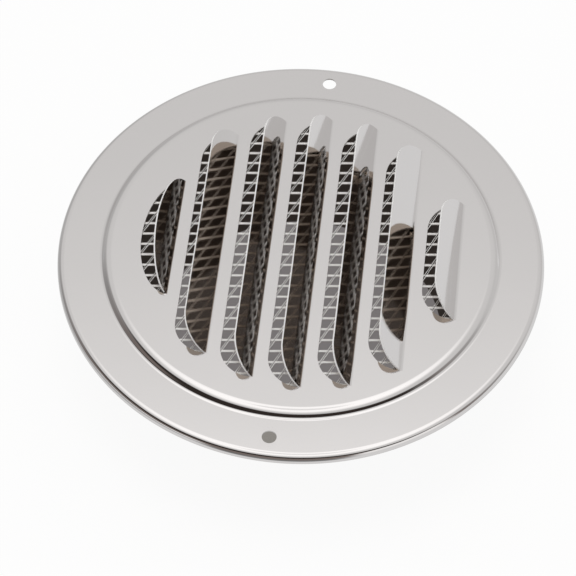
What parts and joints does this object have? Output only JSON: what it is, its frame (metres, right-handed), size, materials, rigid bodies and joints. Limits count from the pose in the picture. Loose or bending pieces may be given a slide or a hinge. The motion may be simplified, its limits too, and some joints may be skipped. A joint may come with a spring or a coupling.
{
  "type": "round vent cover",
  "caption": "Round polished steel vent cover: pressed flange and raised louvred face, insect mesh behind it, and a short collar that pushes into a duct.",
  "frame": {"origin": "centre of the duct collar's lower edge, the plane the cover stands on when laid down face up", "axes": "+Z along the axis out of the louvred face; the two screw holes lie on Y; the louvres' folds run along Y, turned 1.9 degrees, and their openings face -X"},
  "size_m": [0.144, 0.144, 0.0538],
  "materials": {
    "polished_plate": "mirror polished stainless steel sheet",
    "mesh_strands": "bright expanded metal",
    "collar_sheet": "bright stainless steel sheet"
  },
  "bodies": {
    "root": {"face_plate": "polished_plate", "insect_mesh": "mesh_strands", "duct_collar": "collar_sheet"}
  },
  "joints": []
}
